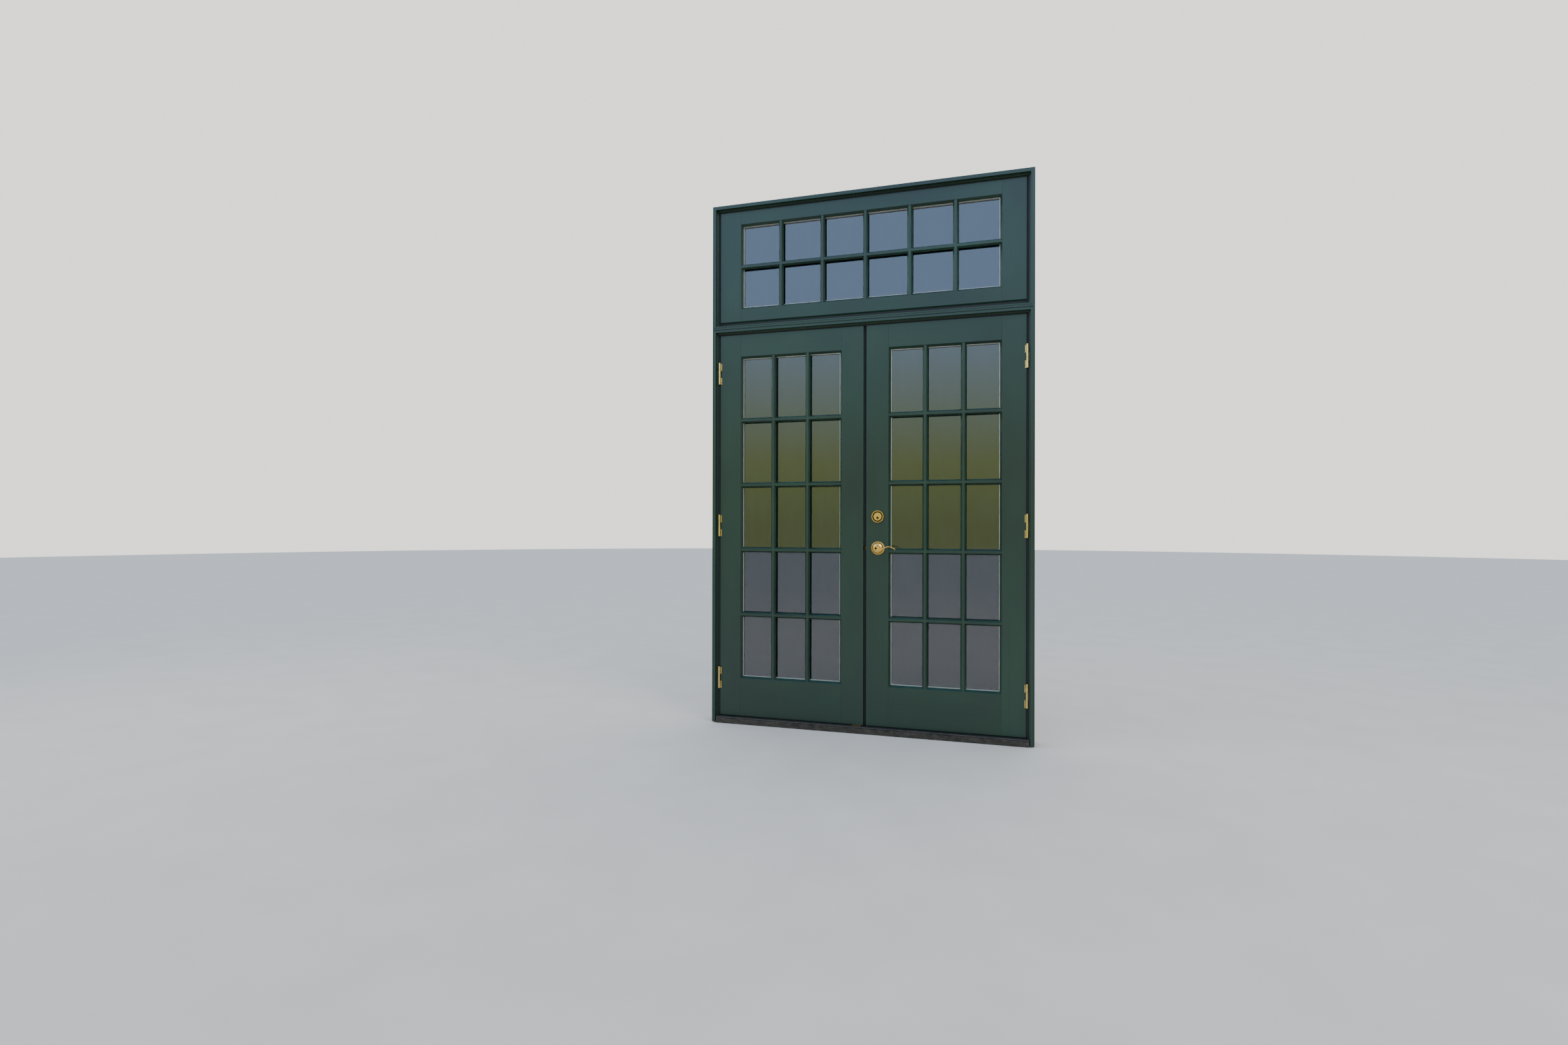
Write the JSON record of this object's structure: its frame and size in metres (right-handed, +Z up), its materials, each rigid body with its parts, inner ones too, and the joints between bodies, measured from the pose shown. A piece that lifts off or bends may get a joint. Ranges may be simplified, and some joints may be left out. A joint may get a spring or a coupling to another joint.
{
  "type": "french doors",
  "caption": "Pair of outward-opening glazed doors with muntins under a fixed transom light, in a painted timber frame with brass hinges, levers and deadbolt.",
  "frame": {"origin": "middle of the threshold's underside, on the centre line between the leaves", "axes": "+X to the right seen from outside, +Y from outside into the house, +Z up"},
  "size_m": [1.613, 0.1685, 2.703],
  "materials": {
    "painted_wood": "brushed semi-gloss dark green paint, weathered",
    "bronze_aluminium": "dark bronze anodised, worn",
    "black_rubber": "matt extruded",
    "brass": "polished, lightly tarnished",
    "zinc_steel": "zinc plated",
    "clear_glass": "clear float glass",
    "spacer_aluminium": "mill finish"
  },
  "bodies": {
    "frame": {"left_jamb": "painted_wood", "right_jamb": "painted_wood", "door_head": "painted_wood", "threshold": "bronze_aluminium", "transom_left_jamb": "painted_wood", "transom_right_jamb": "painted_wood", "transom_head": "painted_wood", "transom_sill": "painted_wood", "door_seals": "black_rubber", "transom_seals": "black_rubber", "transom_left_stile": "painted_wood", "transom_right_stile": "painted_wood", "transom_top_rail": "painted_wood", "transom_bottom_rail": "painted_wood", "transom_glass": "clear_glass", "transom_spacer": "spacer_aluminium", "transom_outer_muntins": "painted_wood", "transom_inner_muntins": "painted_wood", "transom_glazing_beads": "painted_wood", "jamb_hinge_plates": "brass", "hinge_pins": "brass", "bolt_strikes": "brass"},
    "left_leaf": {"left_leaf_hinge_stile": "painted_wood", "left_leaf_meeting_stile": "painted_wood", "left_leaf_top_rail": "painted_wood", "left_leaf_bottom_rail": "painted_wood", "left_leaf_glass": "clear_glass", "left_leaf_spacer": "spacer_aluminium", "left_leaf_outer_muntins": "painted_wood", "left_leaf_inner_muntins": "painted_wood", "left_leaf_glazing_beads": "painted_wood", "left_leaf_hinge_plates": "brass", "astragal": "painted_wood", "astragal_seal": "black_rubber", "lock_strikes": "brass", "flush_bolt_plates": "brass"},
    "right_leaf": {"right_leaf_hinge_stile": "painted_wood", "right_leaf_meeting_stile": "painted_wood", "right_leaf_top_rail": "painted_wood", "right_leaf_bottom_rail": "painted_wood", "right_leaf_glass": "clear_glass", "right_leaf_spacer": "spacer_aluminium", "right_leaf_outer_muntins": "painted_wood", "right_leaf_inner_muntins": "painted_wood", "right_leaf_glazing_beads": "painted_wood", "right_leaf_hinge_plates": "brass", "latch_case": "zinc_steel", "deadbolt_case": "zinc_steel", "lever_rosettes": "brass", "deadbolt_collars": "brass"},
    "handle": {"outer_lever": "brass", "inner_lever": "brass", "spindle": "zinc_steel"},
    "latch_bolt": {"latch_bolt": "brass"},
    "lock_turn": {"thumb_turn": "brass", "key_plug": "brass"},
    "deadbolt_bolt": {"deadbolt_bolt": "zinc_steel"},
    "top_flush_bolt": {"top_flush_bolt": "brass"},
    "bottom_flush_bolt": {"bottom_flush_bolt": "brass"}
  },
  "joints": [
    {"name": "left_leaf_swing", "type": "hinge", "parent": "frame", "child": "left_leaf", "pos_m": [-0.773, -0.037, 1], "axis": [0, 0, -1], "range_deg": [0, 110]},
    {"name": "right_leaf_swing", "type": "hinge", "parent": "frame", "child": "right_leaf", "pos_m": [0.773, -0.037, 1], "axis": [0, 0, 1], "range_deg": [0, 110]},
    {"name": "handle_turn", "type": "hinge", "parent": "right_leaf", "child": "handle", "pos_m": [0.0667, 0, 0.9205], "axis": [0, 1, 0], "range_deg": [0, 45], "stiffness_Nm_per_rad": 1, "springref_deg": -34.38},
    {"name": "latch_slide", "type": "slide", "parent": "right_leaf", "child": "latch_bolt", "axis": [1, 0, 0], "range_m": [0, 0.011]},
    {"name": "thumb_turn_turn", "type": "hinge", "parent": "right_leaf", "child": "lock_turn", "pos_m": [0.0667, 0, 1.07], "axis": [0, 1, 0], "range_deg": [0, 90]},
    {"name": "deadbolt_throw", "type": "slide", "parent": "right_leaf", "child": "deadbolt_bolt", "axis": [-1, 0, 0], "range_m": [0, 0.025]},
    {"name": "top_bolt_slide", "type": "slide", "parent": "left_leaf", "child": "top_flush_bolt", "axis": [0, 0, 1], "range_m": [0, 0.016]},
    {"name": "bottom_bolt_slide", "type": "slide", "parent": "left_leaf", "child": "bottom_flush_bolt", "axis": [0, 0, -1], "range_m": [0, 0.016]}
  ],
  "couplings": [
    {"joint": "latch_slide", "follows": "handle_turn", "m_per_rad": 0.014006},
    {"joint": "thumb_turn_turn", "follows": "deadbolt_throw", "rad_per_m": 62.83}
  ]
}
